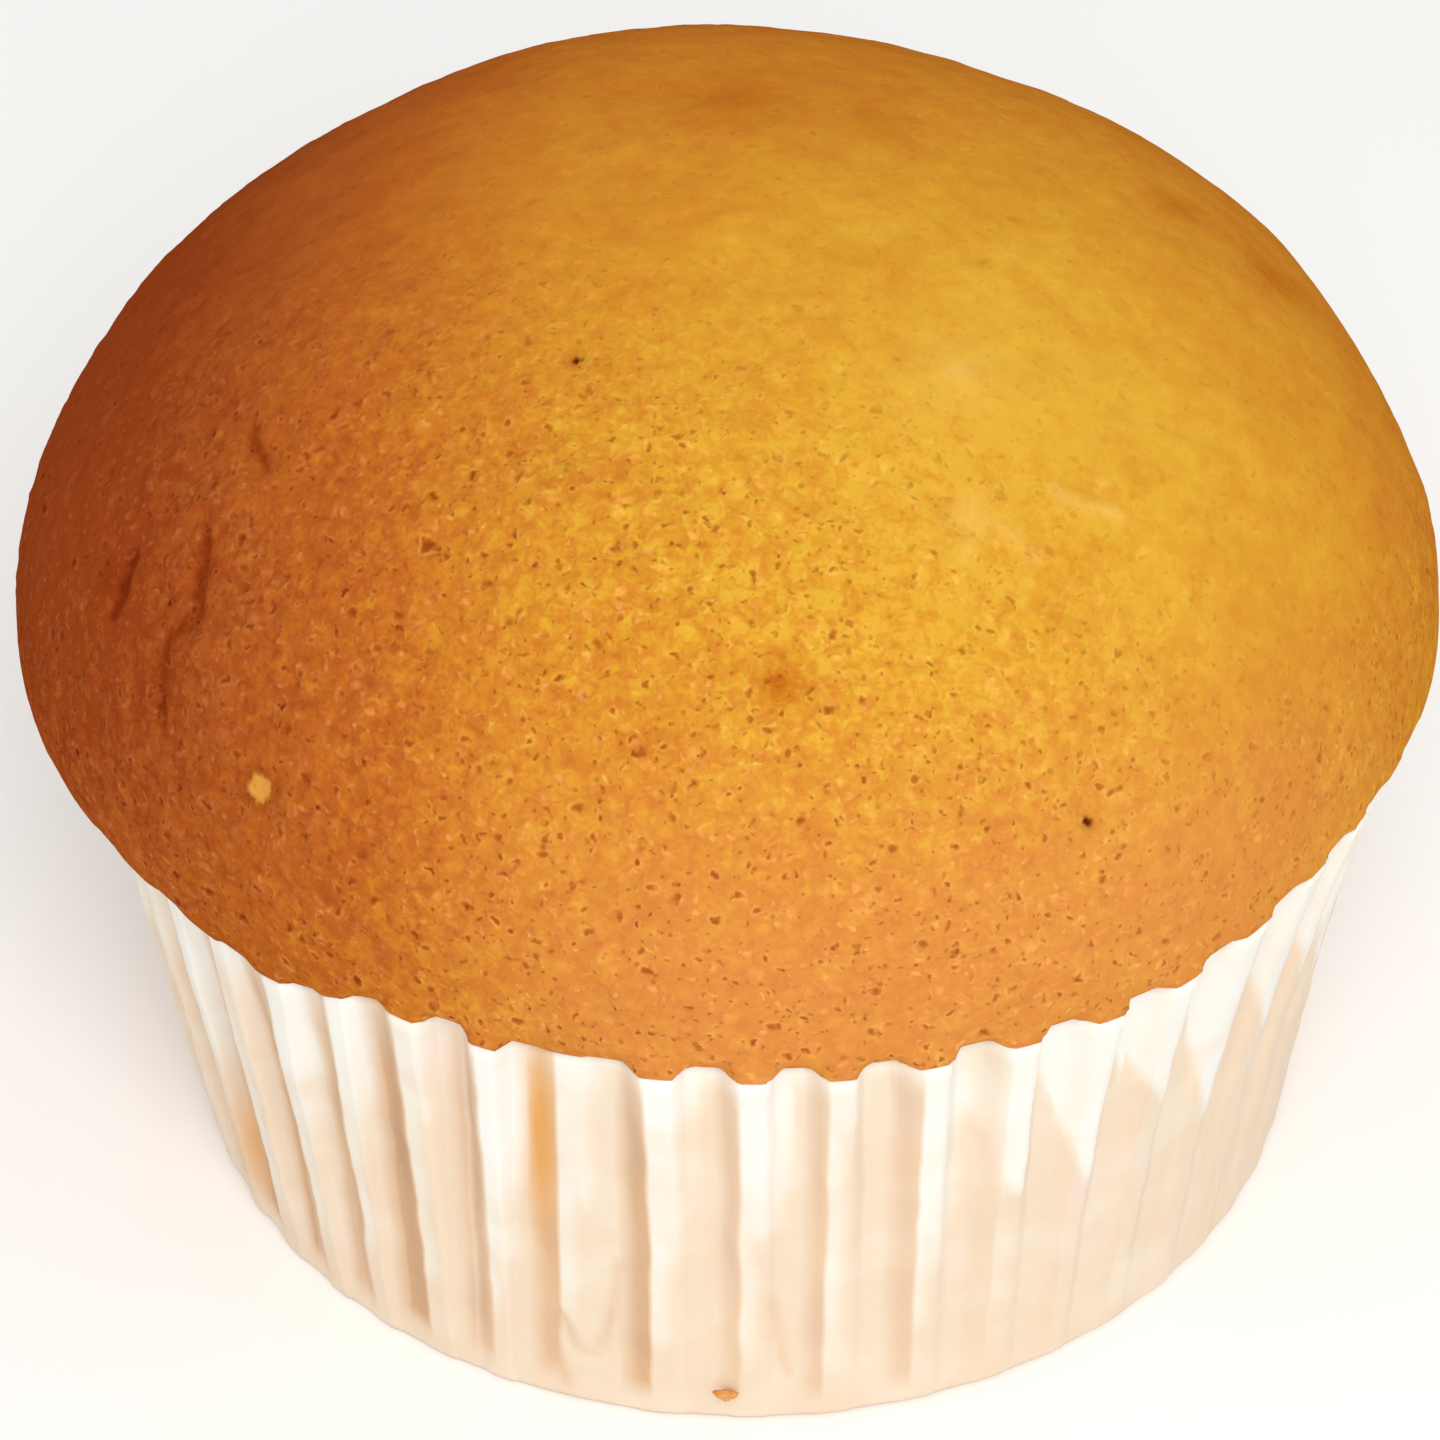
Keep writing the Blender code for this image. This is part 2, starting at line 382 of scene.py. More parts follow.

# %% [markdown]
# ## Where butter has soaked into the paper
#
# Butter from the cake turns the paper peach and slightly see-through. It stays white only
# where paper and cake don't touch: on the folds that stand out, and most near the rim. Each
# crest starts with a sharp white edge and fades to cream. That edge is partly a painted
# highlight, where the crest turns to the light. On the right, where the folds are pressed
# flat, the white comes down from the rim in wedges. A noise in the material knows nothing of
# the folds, so the pattern is worked out here, point by point, and kept on the mesh as
# numbers that the material reads.

# %% How soaked the paper is
pleat, across = pleat_place(angle)
past_edge = (across - FLANK_TOP) % 1
before_edge = 1 - past_edge
tongue = 0.52 + 0.20 * np.sin(pleat * 2.4) + 0.10 * crinkle(plain, 7 * MM, 8)
lifted = np.clip((rise - 1 + tongue) / 0.45, 0, 1)
white = (1 - smooth_step(past_edge, 0.16 + 0.14 * lifted, 0.40 + 0.45 * lifted)) * lifted**0.7
# A white edge along each crest: partly dry paper, partly a painted highlight.
white_and_lit_crest_edge = 0.5 * (1 - smooth_step(past_edge, 0.08, 0.30)) * smooth_step(rise, 0.05, 0.3)
rim_band = 0.8 * smooth_step(rise, 0.93, 0.985)

on_right = smooth_step(np.cos(angle), 0.22, 0.50)
tip = 0.50 + 0.10 * np.sin(pleat * 2.4)
wedge_width = 1.15 * np.clip((rise - tip) / (0.95 - tip), 0, 1)
left_of_drop = (CREST_END + 0.06 - across) % 1
wedge = 1 - smooth_step(left_of_drop, wedge_width - 0.12, wedge_width + 0.08)
wedge *= smooth_step(wedge_width, 0, 0.15)
dry = blend(np.maximum(white, white_and_lit_crest_edge), wedge, on_right)
dry = np.maximum(dry, rim_band)
soaked = np.clip(1 - dry + 0.10 * crinkle(plain, 3.2 * MM, 9), 0, 1)
print(f"white paper on {np.mean(soaked < 0.3):.0%} of the case")

# %% [markdown]
# ## Crevices and crumples
#
# The flank on the left of each crest turns away from the light and holds the most butter, so
# it counts as a crevice. Its tan is partly butter and partly painted shade. Round to the
# left, where those flanks face away from the camera, it reaches further, as painted shade.
# A few crumples at the foot, where the pressing creased the paper across the folds, count as
# shallow crevices. Each is a line through some places, given by degrees round from the front,
# to the right, and by how far up the wall, 0 to 1. They are only coloured, with painted
# shade, because the creases are finer than the mesh.

# %% Crevices and crumples
CRUMPLES = (
    ((-11.8, 0.41), (-12.6, 0.29), (-13.7, 0.18), (-14.8, 0.14), (-16.6, 0.14), (-17.9, 0.22)),
    ((-19.0, 0.17), (-18.6, 0.11), (-18.1, 0.02)),
    ((2.3, 0.33), (3.2, 0.18), (4.0, 0.10)),
)
CRUMPLE_REACH = 0.32 * MM


def bent_line(corners, count):
    """This many places along a bent line through the corners, as two lists of numbers."""
    places = np.linspace(0, len(corners) - 1, count)
    return [np.interp(places, range(len(corners)), numbers) for numbers in zip(*corners)]


# The crevice number is tan: partly butter, partly painted shade, which reaches further on the
# left.
far_left = smooth_step(-np.cos(angle), 0.15, 0.65)
crevice_width = 0.41 + 0.08 * np.sin(pleat * 1.7) + 0.24 * far_left
crevice_tan_and_shade = 1 - smooth_step(before_edge, 0.07 + 0.29 * far_left, crevice_width)
crevice_tan_and_shade *= smooth_step(rise, 0, 0.08) * (0.82 + 0.18 * np.sin(pleat * 4.1))
crevice_tan_and_shade *= (1 - 0.45 * smooth_step(rise, 0.75, 1)) * (1 - 0.6 * on_right)

# Crumples are painted shade of creases too fine for the mesh.
crumple_shade = np.zeros(len(plain))
folded_round = (np.degrees(folded_angle) + 90 + 180) % 360 - 180
for corners in CRUMPLES:
    for round_deg, up in zip(*bent_line(corners, 8 * len(corners))):
        aside = np.radians(folded_round - round_deg) * BASE_RADIUS
        away = np.hypot(aside, (rise - up) * CASE_HEIGHT)
        crumple_shade = np.maximum(crumple_shade, np.exp(-((away / CRUMPLE_REACH) ** 2)))
crevice_tan_and_shade = np.maximum(crevice_tan_and_shade, 0.6 * crumple_shade)
print(f"crevices on {np.mean(crevice_tan_and_shade > 0.5):.0%} of the case")

# %% [markdown]
# ## Stains, and the paper's thickness
#
# In two places fat has run down a fold and stained it orange. Each stain is given by its
# degrees round, how far up the wall its middle is, how far it reaches up and down, and its
# width in degrees. The three numbers are kept on the mesh before the sheet gets its
# thickness, because a Solidify modifier copies them to the inner wall too.

# %% Stain the paper and make it thick
STAINS = ((-18, 0.75, 0.28, 1.7), (-59, 0.20, 0.16, 2.8))

stained = np.zeros(len(plain))
for round_deg, middle, reach, width in STAINS:
    aside = (np.degrees(angle) + 90 - round_deg + 180) % 360 - 180
    spot = np.exp(-((aside / width) ** 2) - ((rise - middle) / reach) ** 2)
    stained = np.maximum(stained, spot * (0.35 + 0.65 * crevice_tan_and_shade**0.5))
stained = np.clip(1.3 * stained, 0, 1)
for name, values in (("soaked", soaked), ("crevice_tan_and_shade", crevice_tan_and_shade), ("stained", stained)):
    write_attribute(case, name, values)

wall = case.modifiers.new("wall", "SOLIDIFY")
wall.thickness = PAPER
wall.offset = -1
apply_modifiers(case)
shade_smooth(case)
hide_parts("paper_case")
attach(case, "root")
print("paper case:", triangles(case), "triangles")

# %% [markdown]
# ## The cake: from a cube to a ball of even squares
#
# The crust needs small, even faces all over, for its pores and bumps. A globe-like sphere
# has a crowded pole, right on top, where everyone looks. A cube that is subdivided until it
# is round has no pole, and its squares stay nearly the same size. Each point of that ball is
# then sent to its place on the cake.

# %% Make the ball
start_fresh()
bpy.ops.mesh.primitive_cube_add(size=2, location=(0, 0, 0))
cake = bpy.context.object
cake.name = cake.data.name = "sponge"
add_subdivision(cake, 7)
rounder = cake.modifiers.new("ball", "CAST")
rounder.cast_type = "SPHERE"
rounder.factor = 1
rounder.use_radius_as_size = False
rounder.size = 1
apply_modifiers(cake)
ball = points_of(cake)
ball /= np.linalg.norm(ball, axis=1)[:, None]
print("ball:", len(ball), "points")

# %% [markdown]
# ## How far the crust reaches
#
# The batter rose over the rim on the left, the back and the right, and set there as a lip.
# At the front the crust stops just inside the paper, so there the folds end in small crusty
# teeth. Low lumps keep the lip from being an even oval.


# %% The lip's reach and height
def left_roll(angle):
    """The part of the lip that hangs over the rim on the left only."""
    return LIP_LEFT * np.maximum(-np.cos(angle), 0) ** 5


def lip(angle):
    """How far the crust reaches past the rim in these directions."""
    front, right = -np.sin(angle), np.cos(angle)
    side = LIP_RIGHT * np.maximum(right, 0) ** 2 + left_roll(angle)
    along = LIP_FRONT * np.maximum(front, 0) ** 2 + LIP_BACK * np.maximum(-front, 0) ** 2
    return side + along


def crust_width(angle):
    lump = 0.25 * MM * np.sin(3 * angle + 0.9) + 0.15 * MM * np.sin(7 * angle + 2.2)
    reach = np.clip(np.maximum(lip(angle), 0) / MM, 0, 1)
    return RIM_RADIUS - PLEAT_DEPTH_RIM * 0.4 + lip(angle) + lump * reach


def crust_level(angle):
    """The height at which the crust is widest. It stands higher where it hangs out further."""
    hung = 0.30 * np.maximum(lip(angle), 0)
    return CASE_HEIGHT + LIP_RISE + hung + 0.3 * MM * pushed_right(angle)


print(f"crust {crust_width(math.pi) / MM:.1f} mm out on the left,", end=" ")
print(f"{crust_width(0.0) / MM:.1f} mm on the right")

# %% [markdown]
# ## Four belts of the cake
#
# Going down from the top there are the dome, the lip that rolls over the rim, the side that
# fills the folds of the paper, and the flat bottom. The dome is a low ellipse, a little
# wider to the left, where the batter rose furthest. The side stands a hair inside the paper,
# so that the two never touch.

# %% The four belts
SNUG = PAPER + 0.11 * MM


def inner_wall(rise, angle):
    """The cake's side. Sponge can't fill the sharp corner inside a fold's steep flank."""
    wave, _ = pleat_wave(angle)
    wave_ahead, _ = pleat_wave(angle + 0.06 * pitch)
    return fold_radius(rise, angle, np.minimum(wave, wave_ahead)) - SNUG


def dome_points(angle, tilt):
    out = np.cos(tilt) ** (2 / DOME_POWER)
    up = np.sin(tilt) ** (2 / DOME_POWER)
    swell = 0.30 * MM * np.sin(3 * angle + 1.2) * np.sin(2 * tilt)
    radius = crust_width(angle) * out + swell - left_roll(angle) * (out - out**ROLL_POWER)
    x = APEX_SHIFT[0] * up + radius * np.cos(angle)
    y = APEX_SHIFT[1] * up + radius * np.sin(angle)
    return x, y, blend(crust_level(angle), APEX_HEIGHT, up)


def lip_points(angle, part):
    """From the rim of the paper, part 0, up and out to the widest level, part 1."""
    wave, _ = pleat_wave(angle)
    wave_behind, _ = pleat_wave(angle - 0.03 * pitch)
    inner = fold_radius(1.0, angle, np.maximum(wave, wave_behind)) - 0.07 * MM
    outer = crust_width(angle)
    bulge = np.sin(blend(math.radians(8), np.pi / 2, part))
    radius = np.where(outer > inner, blend(inner, outer, bulge), blend(inner, outer, part))
    hang = np.clip(lip(angle) / MM, 0, 1) * np.sin(np.pi * part)
    foot = CASE_HEIGHT + rim_wander(angle) + 0.03 * MM
    height = blend(foot, crust_level(angle), part**1.5) - 0.35 * MM * hang
    turned = angle + lean(angle, 1) * (1 - part)
    return radius * np.cos(turned), radius * np.sin(turned), height


def side_points(angle, rise):
    radius = inner_wall(rise, angle)
    turned = angle + lean(angle, rise)
    height = blend(CORNER_HEIGHT, CASE_HEIGHT + rim_wander(angle) - 0.1 * MM, rise)
    return radius * np.cos(turned), radius * np.sin(turned), height


def bottom_points(angle, part):
    """From the centre, part 0, to the corner, part 1."""
    edge = inner_wall(0.0, angle)
    radius = edge * part
    height = SNUG + (CORNER_HEIGHT - SNUG) * np.clip((part - 0.955) / 0.045, 0, 1) ** 2
    turned = angle + lean(angle, 0)
    return radius * np.cos(turned), radius * np.sin(turned), height


print(f"the side stands {SNUG / MM:.2f} mm inside the paper's face")

# %% [markdown]
# ## From ball to cake
#
# A point's height on the ball, as an angle, says which belt it goes to and how far along it
# is there. The angles where the belts meet are chosen so that every belt gets squares of
# nearly one size.

# %% Shape the cake
LIP_TOP, LIP_FOOT, CORNER = math.radians(-17), math.radians(-27), math.radians(-60)


def cake_points(ball):
    angle = np.arctan2(ball[:, 1], ball[:, 0])
    lift = np.arcsin(np.clip(ball[:, 2], -1, 1))
    tilt = np.clip((lift - LIP_TOP) / (np.pi / 2 - LIP_TOP), 0, 1) * np.pi / 2
    part = np.clip((lift - LIP_FOOT) / (LIP_TOP - LIP_FOOT), 0, 1)
    rise = np.clip((lift - CORNER) / (LIP_FOOT - CORNER), 0, 1)
    base = np.clip((lift + np.pi / 2) / (CORNER + np.pi / 2), 0, 1)
    shaped = np.array(bottom_points(angle, base))
    shaped = np.where(lift > CORNER, side_points(angle, rise), shaped)
    shaped = np.where(lift > LIP_FOOT, lip_points(angle, part), shaped)
    shaped = np.where(lift > LIP_TOP, dome_points(angle, tilt), shaped)
    return shaped.T, lift


smooth_cake, lift = cake_points(ball)
move_points(cake, smooth_cake)
print("cake:", np.round((smooth_cake.max(0) - smooth_cake.min(0)) / MM, 1), "mm")

# %% [markdown]
# ## The relief of the crust
#
# Steam and setting batter leave marks of several sizes: broad waves a centimetre across,
# soft lumps of a few millimetres, and a pebbled skin finer than a millimetre. All three are
# real shape here, made with Displace modifiers that push the skin along its normal by a
# procedural noise. What is finer than the mesh is left to the material. A vertex group keeps
# the noise off the sides, which must stay inside the paper.


# %% Push the crust out and in
def weight_points(piece, name, weights):
    """A vertex group with these weights, to the nearest tenth."""
    group = piece.vertex_groups.new(name=name)
    for tenths in range(1, 11):
        inside = np.nonzero(np.round(weights * 10) == tenths)[0]
        group.add(inside.tolist(), tenths / 10, "REPLACE")
    return group.name


def displace(piece, name, size, depth, group):
    texture = bpy.data.textures.new(name, "CLOUDS")
    texture.noise_scale = size
    texture.noise_depth = 2
    push = piece.modifiers.new(name, "DISPLACE")
    push.texture = texture
    push.texture_coords = "LOCAL"
    push.strength = depth
    push.mid_level = 0.6
    push.vertex_group = group


crust_weight = smooth_step(lift, LIP_TOP - math.radians(5), LIP_TOP + math.radians(6))
front_left = smooth_step(-smooth_cake[:, 1] - 0.6 * smooth_cake[:, 0], -22 * MM, 24 * MM)
crust_group = weight_points(cake, "crust", crust_weight)
rough_group = weight_points(cake, "pebbled", crust_weight * (0.25 + 0.75 * front_left))

displace(cake, "swells", 9 * MM, 0.50 * MM, crust_group)
displace(cake, "lumps", 2.6 * MM, 0.28 * MM, rough_group)
displace(cake, "pebbles", 0.85 * MM, 0.26 * MM, rough_group)
apply_modifiers(cake)
print("relief: swells, lumps and pebbles, 0.26 to 0.5 mm deep")

# %% [markdown]
# ## Pits, creases and blotches
#
# Here and there a bubble has burst and left a pit, darker than the crust round it. On the
# left the crust creased as it slid over the rim. One patch there tore and shows the yellow
# crumb, and a few soft patches browned more than the rest. On the right of the top are fine
# pale ridges, and painted highlights: pale spots that stand in for light shining on the
# crust. Each mark is given by its direction from the middle of the dome: degrees round from
# the front to the right, then degrees up. After that comes its width in millimetres, and for
# a pit and the torn spot its depth, for a blotch and a painted highlight its strength.

# %% The marks and their places
DOME_CENTRE = np.array([0, 0, CASE_HEIGHT + LIP_RISE])
PITS = (
    (-35, 60, 0.75, 0.40),
    (30, 16, 0.75, 0.35),
    (70, 64, 0.50, 0.20),
    (-62, 21, 0.85, 0.30),
    (-86, 41, 0.55, 0.20),
    (-86, 36, 0.50, 0.18),
    (-72, 33, 0.60, 0.25),
    (-75, 30, 0.50, 0.20),
    (-79, 23, 0.55, 0.20),
    (-66, 30, 0.50, 0.15),
    (-57, 30, 0.50, 0.18),
    (-63, 17, 0.60, 0.20),
    (-54, 24, 0.55, 0.18),
    (-42, 22, 0.50, 0.18),
    (-48, 24, 0.55, 0.18),
    (-42, 32, 0.45, 0.15),
    (-53, 18, 0.50, 0.15),
    (-60, 12, 0.60, 0.20),
)
CREASES = (
    ((-69, 22), (-67, 19), (-67, 17)),
    ((-63, 28), (-60, 25), (-58, 22), (-60, 19), (-58, 15), (-57, 13)),
    ((-68, 36), (-63, 35)),
)
BLOTCHES = (
    (107, 43, 3.0, 0.7),
    (101, 32, 3.4, 0.8),
    (136, 71, 3.6, 0.5),
    (-174, 73, 5.0, 0.6),
    (3, 32, 2.2, 1.0),
    (-68, 19, 2.8, 0.5),
    (-60, 25, 2.6, 0.45),
    (-58, 16, 2.8, 0.5),
)
TORN_SPOT = (-45, 13, 1.7, 0.2)
RIDGES = (
    ((29.8, 44.8), (29.9, 43), (26, 40.3)),
    ((29.9, 43), (32.5, 41.8), (33.6, 39.9), (34.7, 37.9)),
    ((41.7, 43.3), (42.2, 41.6), (45, 39.7), (47.1, 37.9)),
)
# Painted highlights: pale spots for light shining on the crust.
PAINTED_HIGHLIGHTS = (
    (41.5, 57.1, 1.5, 0.8),
    (41.5, 57.1, 4.0, 0.3),
    (29.6, 44.2, 1.8, 0.6),
    (47.9, 41.1, 0.5, 0.8),
)
print(len(PITS), "pits,", len(CREASES), "creases and", len(RIDGES), "ridges")

# %% [markdown]
# ## Finding the places on the crust
#
# A direction gives the nearest point of the smooth crust, and each mark is a soft round spot
# there, or a row of spots along a bent line.

# %% From a direction to a spot
towards = smooth_cake - DOME_CENTRE
towards = towards / np.linalg.norm(towards, axis=1)[:, None]


def direction(round_deg, up_deg):
    """The unit vector this many degrees round from the front, to the right, and up."""
    turn, up = math.radians(round_deg - 90), math.radians(up_deg)
    return np.array([math.cos(turn) * math.cos(up), math.sin(turn) * math.cos(up), math.sin(up)])


def crust_point(round_deg, up_deg):
    """The point of the smooth crust in this direction from the middle of the dome."""
    return smooth_cake[np.argmax(towards @ direction(round_deg, up_deg))]


def spot_on(skin, spots, width_mm):
    """1 at the middle of a spot or along a row of them, falling to 0 over this width."""
    strength = np.zeros(len(skin))
    for spot in spots:
        away = np.linalg.norm(skin - spot, axis=1)
        strength = np.maximum(strength, np.exp(-((away / (width_mm * MM / 2)) ** 2)))
    return strength


def along(corners, count):
    """Points on the crust along a bent line through these directions."""
    return [crust_point(r, u) for r, u in zip(*bent_line(corners, count))]


print("straight up from the dome's middle:", np.round(crust_point(0, 90) / MM, 1), "mm")

# %% [markdown]
# ## Pressing in the marks
#
# The pits, creases and torn spot are pressed into the mesh along its normals, and the ridges
# are raised from it. The strength of every mark, the blotches and painted highlights too, is
# kept there as a number, so that the material can colour exactly those points. Sixty smaller
# pits are strewn over the left by chance, with a seed, so that they fall alike each time.

# %% Press in the marks
DEEPEST_PIT_MM = 0.4
SMALL_PITS, SMALL_PIT_DEPTH = 60, 0.12 * MM
CREASE_WIDTH_MM, CREASE_DEPTH = 0.95, 0.22 * MM
RIDGE_WIDTH_MM, RIDGE_HEIGHT, RIDGE_PALENESS = 0.6, 0.08 * MM, 0.7

skin = points_of(cake)
normals = np.empty(len(skin) * 3, np.float32)
cake.data.vertices.foreach_get("normal", normals)
normals = normals.reshape(-1, 3)
pit, crease, blotch = np.zeros((3, len(skin)))
sunk = np.zeros(len(skin))
for round_deg, up_deg, width, deep in PITS:
    hole = spot_on(skin, [crust_point(round_deg, up_deg)], width)
    pit = np.maximum(pit, hole * min(1, deep / DEEPEST_PIT_MM))
    sunk += deep * MM * hole
few = np.random.default_rng(31)
for _ in range(SMALL_PITS):
    place = crust_point(few.uniform(-170, -30), few.uniform(3, 45))
    hole = spot_on(skin, [place], few.uniform(0.35, 0.55))
    pit = np.maximum(pit, hole * few.uniform(0.2, 0.5))
    sunk += SMALL_PIT_DEPTH * hole
for corners in CREASES:
    line = spot_on(skin, along(corners, 12 * len(corners)), CREASE_WIDTH_MM)
    crease = np.maximum(crease, line)
    sunk += CREASE_DEPTH * line
for round_deg, up_deg, width, strength in BLOTCHES:
    stain = spot_on(skin, [crust_point(round_deg, up_deg)], width)
    blotch = np.maximum(blotch, strength * stain)
ridge_and_highlight_paleness = np.zeros(len(skin))
for corners in RIDGES:
    line = spot_on(skin, along(corners, 12 * len(corners)), RIDGE_WIDTH_MM)
    ridge_and_highlight_paleness = np.maximum(ridge_and_highlight_paleness, RIDGE_PALENESS * line)
    sunk -= RIDGE_HEIGHT * line
# Painted highlights go into the same number as the pale ridges.
for round_deg, up_deg, width, strength in PAINTED_HIGHLIGHTS:
    highlight_spot = spot_on(skin, [crust_point(round_deg, up_deg)], width)
    ridge_and_highlight_paleness = np.maximum(ridge_and_highlight_paleness, strength * highlight_spot)
round_deg, up_deg, width, deep = TORN_SPOT
torn = spot_on(skin, [crust_point(round_deg, up_deg)], width)
sunk += deep * MM * torn
move_points(cake, skin - normals * sunk[:, None])
marks = {"pit": pit, "crease": crease, "blotch": blotch, "torn": torn, "pale_and_lit": ridge_and_highlight_paleness}
for name, values in marks.items():
    write_attribute(cake, name, np.clip(values, 0, 1))

shade_smooth(cake)
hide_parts("sponge_cake")
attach(cake, "root")
print("sponge cake:", triangles(cake), "triangles")

# %% [markdown]
# ## A crumb
#
# One crumb clings to the foot of the case. It starts as a small ball of triangles, which is
# dented unevenly and squashed, because a torn crumb has no smooth side.

# %% Make the crumb
CRUMB_RADIUS = 0.36 * MM
CRUMB_PLACE = (-0.9 * MM, -25.75 * MM, 2.12 * MM)

start_fresh()
bpy.ops.mesh.primitive_ico_sphere_add(subdivisions=3, radius=CRUMB_RADIUS, location=(0, 0, 0))
crumb = bpy.context.object
crumb.name = crumb.data.name = "crumb"
grain = points_of(crumb)
grain *= (1 + 0.28 * crinkle(grain, 0.4 * MM, 3) + 0.15 * crinkle(grain, 0.2 * MM, 4))[:, None]
grain *= (1.3, 0.65, 0.7)
grain[:, 0] *= 1 + 0.7 * grain[:, 2] / CRUMB_RADIUS
grain[:, 2] = np.minimum(grain[:, 2], 0.12 * MM)
grain += CRUMB_PLACE
move_points(crumb, grain)
shade_smooth(crumb)
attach(crumb, "root")
print("crumb:", len(crumb.data.polygons), "faces")

# %% [markdown]
# ## Helpers for the materials
#
# Colours are written as the hex values that a paint program shows. Blender mixes light with
# linear numbers, so one function turns the first into the second. Another adds a node of any
# kind, sets it and links it, in one line. Sizes are in millimetres, so a pattern's scale is
# one over the real spacing in metres.


# %% Material helpers
def linear(hex_colour):
    values = [int(hex_colour[i : i + 2], 16) / 255 for i in (1, 3, 5)]
    low = [v / 12.92 for v in values]
    high = [((v + 0.055) / 1.055) ** 2.4 for v in values]
    return [a if v <= 0.04045 else b for v, a, b in zip(values, low, high)] + [1]


def per_metre(size_mm):
    """The scale of a pattern that repeats about every so many millimetres."""
    return 1 / (size_mm * MM)


def set_inputs(tree, node, inputs):
    """Gives a node's inputs a number, a colour, a socket or a node, by its first output."""
    for key, value in inputs.items():
        if isinstance(value, bpy.types.Node):
            value = value.outputs[0]
        if isinstance(value, bpy.types.NodeSocket):
            tree.links.new(value, node.inputs[key])
        else:
            node.inputs[key].default_value = value


def add_node(tree, kind, settings=None, *values, **inputs):
    """Adds a node, with values for its inputs in their order, by name, or by number as _6."""
    node = tree.nodes.new("ShaderNode" + kind)
    for name, value in (settings or {}).items():
        setattr(node, name, value)
    chosen = dict(enumerate(values))
    for name, value in inputs.items():
        chosen[int(name[1:]) if name[0] == "_" else name.replace("_", " ")] = value
    set_inputs(tree, node, chosen)
    return node


def new_material(name):
    material = bpy.data.materials.new(name)
    material.use_nodes = True
    return material, material.node_tree, material.node_tree.nodes["Principled BSDF"]


print("white is", linear("#FFFFFF"))

# %% [markdown]
# ## Steps that the materials share
#
# What a Math node does is set by its operation, so each operation that is used gets a name.
# A noise runs from 0 to 1, so it is turned into a swing to both sides of zero before it is
# added to anything. A fade is a threshold with a soft edge. A tint takes the colour so far
# and blends in, adds or multiplies by one more.

# %% Sums, swings, fades and tints
ADD, SUBTRACT, MULTIPLY, MULTIPLY_ADD, DIVIDE, MAXIMUM, POWER, LESS_THAN, SCALE = (
    {"operation": name}
    for name in "ADD SUBTRACT MULTIPLY MULTIPLY_ADD DIVIDE MAXIMUM POWER LESS_THAN SCALE".split()
)
CLAMPED_ADD = {"operation": "ADD", "use_clamp": True}
CLAMPED_SUBTRACT = {"operation": "SUBTRACT", "use_clamp": True}
BLENDED, ADDED, MULTIPLIED = (
    {"data_type": "RGBA", "blend_type": name} for name in ("MIX", "ADD", "MULTIPLY")
)
S_CURVED = {"interpolation_type": "SMOOTHSTEP"}


def swing(tree, value, reach):
    """Turns a noise of 0 to 1 into a swing of this reach to both sides of zero."""
    return add_node(tree, "Math", MULTIPLY_ADD, value, 2 * reach, -reach)


def fade(tree, value, start, end):
    """0 at the start value, 1 at the end value, an even S in between."""
    return add_node(tree, "MapRange", S_CURVED, value, start, end, 0, 1)


def tint(tree, colour, share, hex_colour, how=BLENDED):
    """Blends this share of a second colour into the first, or adds or multiplies by it."""
    return add_node(tree, "Mix", how, _0=share, _6=colour, _7=linear(hex_colour)).outputs[2]


def round_patch(tree, place, centre, reach):
    """1 at the centre, falling to 0 at this reach along X, Y and Z. All in millimetres."""
    moved = add_node(tree, "VectorMath", SUBTRACT, place, [c * MM for c in centre])
    scaled = add_node(tree, "VectorMath", DIVIDE, moved, [r * MM for r in reach])
    patch = add_node(tree, "TexGradient", {"gradient_type": "SPHERICAL"}, Vector=scaled)
    return patch.outputs["Fac"]


def set_stops(ramp, stops):
    """Gives a colour ramp its stops, each a place from 0 to 1 and a hex colour."""
    elements = ramp.color_ramp.elements
    while len(elements) < len(stops):
        elements.new(0.5)
    for element, (place, hex_colour) in zip(elements, stops):
        element.position = place
        element.color = linear(hex_colour)


print("steps: swing, fade, tint, round patch")

# %% [markdown]
# ## Greaseproof paper
#
# Greaseproof paper is beaten wood pulp, pressed hard. It is matt, bright, and a little
# see-through, and butter makes it more so: light goes in, meets the cake and comes back
# peach. White, cream and peach are mixed by the number on the mesh that says how soaked the
# paper is, and clouds of a few millimetres keep them from looking painted.

# %% Soaked paper
paper, tree, shader = new_material("greaseproof_paper")
place = add_node(tree, "TexCoord").outputs["Object"]
soaked_in, crevice_shade_and_tan, fat_stain = (
    add_node(tree, "Attribute", {"attribute_name": name}).outputs["Fac"]
    for name in ("soaked", "crevice_tan_and_shade", "stained")
)
cloudy = add_node(tree, "TexNoise", Vector=place, Scale=per_metre(3.5), Detail=3.0)
wetness = add_node(tree, "Math", CLAMPED_ADD, soaked_in, swing(tree, cloudy, 0.45))
sheet_colour = add_node(tree, "ValToRGB", Fac=wetness)
set_stops(sheet_colour, ((0, "#F4EDE1"), (0.35, "#F1E5D4"), (0.7, "#EDD9C1"), (1, "#E9CEB3")))
uneven = add_node(tree, "TexNoise", Vector=place, Scale=per_metre(5.0), Detail=2.0)
blush = add_node(tree, "Math", MULTIPLY, fade(tree, uneven, 0.5, 0.75), 0.5)
sheet_colour = tint(tree, sheet_colour, blush, "#F0D6C8")
print("soaked paper:", len(tree.nodes), "nodes")

# %% [markdown]
# ## Tan folds, pulp and sheen
#
# The crevices are tan: partly butter, which gathers there, and partly painted shade, because
# little light gets in, and more so on the left, where the folds are deeper. The very bottom
# of them is darker still, as painted shade. Stains are orange. A faint graininess is the
# pulp: it is drawn half a millimetre coarse, so that it shows at all. A little light goes
# through the sheet, which subsurface scattering gives.

